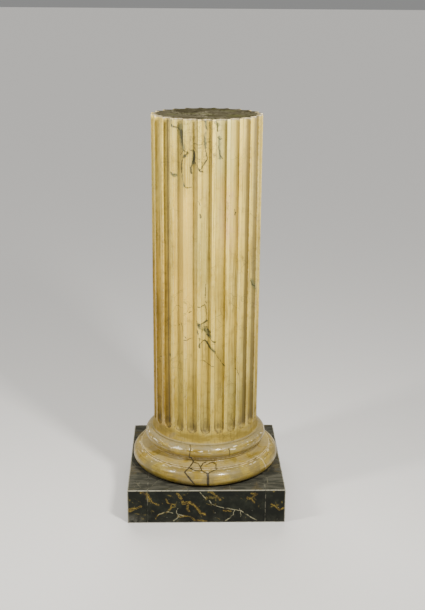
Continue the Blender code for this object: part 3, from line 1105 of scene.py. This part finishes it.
def black_marble():
    paint = Paint("black marble paint")
    p = paint.warped(paint.place, 11.0, 0.02, 4)
    mottle = paint.noise(p, 34.0, 5.0, 0.62)
    breaks = paint.noise(paint.place, 120.0, 3.0, 0.6)
    front = paint.y.fall(-PLINTH_HALF + 0.0012, -PLINTH_HALF + 0.0030)
    on_top = paint.z.rise(PLINTH_TOP - 0.0014, PLINTH_TOP - 0.0006)
    paint.colour = paint.mix(mottle.rise(0.42, 0.70), BLACK_GREEN, GREEN_CLOUD)
    lay_marble_veins(paint, p, mottle, breaks, front, on_top)

    # Dust and painted sheen on top, and wear at the edges and seams
    brushed = paint.noise(paint.stretched(paint.place, 0.25, 1, 1), 95.0, 4.0, 0.65)
    # The top's lighter grey is partly dust and partly painted sheen
    paint.lay(on_top * (0.30 + brushed.rise(0.42, 0.62) * 0.45), GREY_DUST)
    across, along = PLINTH_HALF - abs(paint.x), PLINTH_HALF - abs(paint.y)
    upright = (PLINTH_TOP - paint.z).least(paint.z)
    to_edge = across.least(along).most(across.most(along).least(upright))
    worn = to_edge.fall(0.0006, 0.0036) * breaks.rise(0.26, 0.50)
    seam = abs(abs(paint.x) - SEAM_PLACE).fall(0.0003, 0.0016) * breaks.rise(0.44, 0.62)
    paint.lay(worn.most(seam * 0.5) * 0.8, WORN_GREY)

    # Dust low down, most of all at the front's left corner, and pale flecks
    low = paint.z.fall(0.004, 0.034) * mottle.rise(0.34, 0.56)
    paint.lay(low * 0.15, GREY_DUST)
    paint.lay(low * paint.x.fall(-0.205, -0.160) * front * 0.55, CORNER_DUST)
    paint.lay(paint.noise(paint.place, 150.0, 1.0).rise(0.76, 0.80) * 0.5, WORN_GREY)

    roughness = 0.42 + on_top * 0.25 + mottle * 0.15
    relief = mottle * 0.3 + breaks * 0.3 + brushed * on_top * 0.4
    return paint.finish(roughness, relief, 0.0007, specular=0.18)


# Room: floor, lights and camera
FLOOR_REACH = 250.0
FLOOR_SHADE = (0.70, 0.69, 0.67)
FLOOR_PALE = (0.72, 0.71, 0.69)
LAMP_AIM = (0, 0, 0.95)
LAMP_COLOUR = (1.0, 0.97, 0.91)
# Name, azimuth from the front and elevation in degrees, distance, width, height, watts
LAMPS = (
    ("key", 28, 24, 1.22, 0.14, 0.42, 39),
    ("left", -60, 18, 1.50, 0.18, 0.50, 25),
)
BEHIND_DIRECTION = (0.10, -0.78, -0.62)
BEHIND_STRENGTH = 3.0
BEHIND_WIDTH = math.radians(50)
BEHIND_COLOUR = (1.0, 0.98, 0.95)
ROOM_COLOUR = (0.80, 0.80, 0.79)
ROOM_STRENGTH = 0.34


def make_floor():
    bm = bmesh.new()
    bmesh.ops.create_grid(bm, x_segments=1, y_segments=1, size=FLOOR_REACH)
    paint = Paint("plain floor")
    grain = paint.noise(paint.place, 60.0, 2.0)
    paint.colour = paint.mix(grain, FLOOR_SHADE, FLOOR_PALE)
    mesh_object("floor", bm, paint.finish(0.75, grain, 0.0001))


def add_light(data, colour, direction, place=(0, 0, 0)):
    data.color = colour
    light = bpy.data.objects.new(data.name, data)
    light.location = place
    light.rotation_euler = Vector(direction).to_track_quat("-Z", "Y").to_euler()
    bpy.context.scene.collection.objects.link(light)
    return light


def make_lights():
    """A key lamp from the right front, a weaker one from the left, and a wide light behind."""
    for name, azimuth, elevation, distance, width, height, power in LAMPS:
        turn, rise = math.radians(azimuth), math.radians(elevation)
        level = Vector((math.sin(turn), -math.cos(turn), 0))
        outward = level * math.cos(rise) + Vector((0, 0, math.sin(rise)))
        data = bpy.data.lights.new(name, "AREA")
        data.shape = "RECTANGLE"
        data.size = width
        data.size_y = height
        data.energy = power
        place = Vector(LAMP_AIM) + outward * distance
        add_light(data, LAMP_COLOUR, -outward, place).visible_camera = False

    # It lights the floor and the far side evenly, and leaves no glare on the base's edges.
    data = bpy.data.lights.new("behind", "SUN")
    data.energy = BEHIND_STRENGTH
    data.angle = BEHIND_WIDTH
    add_light(data, BEHIND_COLOUR, BEHIND_DIRECTION).visible_glossy = False

    world = bpy.data.worlds.new("studio")
    world.use_nodes = True
    background = world.node_tree.nodes["Background"]
    background.inputs["Color"].default_value = (*ROOM_COLOUR, 1)
    background.inputs["Strength"].default_value = ROOM_STRENGTH
    bpy.context.scene.world = world


def make_camera():
    data = bpy.data.cameras.new("camera")
    data.sensor_width = SENSOR
    data.lens = CAMERA_FOCAL_PIXELS * SENSOR / FRAME_HEIGHT_PIXELS
    camera = bpy.data.objects.new("camera", data)
    turn = Matrix.Rotation(CAMERA_YAW, 4, "Z")
    tilt = Matrix.Rotation(math.pi / 2 + CAMERA_PITCH, 4, "X")
    roll = Matrix.Rotation(CAMERA_ROLL, 4, "Z")
    camera.matrix_world = Matrix.Translation(CAMERA_PLACE) @ turn @ tilt @ roll
    bpy.context.scene.collection.objects.link(camera)
    bpy.context.scene.camera = camera


def dress(piece, node):
    """The piece stands for the node and moves with the column."""
    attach(piece, "root")
    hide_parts(node)


def main():
    make_camera()
    make_lights()
    make_floor()
    dress(make_shaft(shaft_paint(), top_dust()), "shaft")
    dress(make_base(base_paint()), "base_moulding")
    black = black_marble()
    for node in PLINTH_NODES:
        board = make_board(node.replace("plinth", "painted"), node, black)
        dress(board, node)


main()
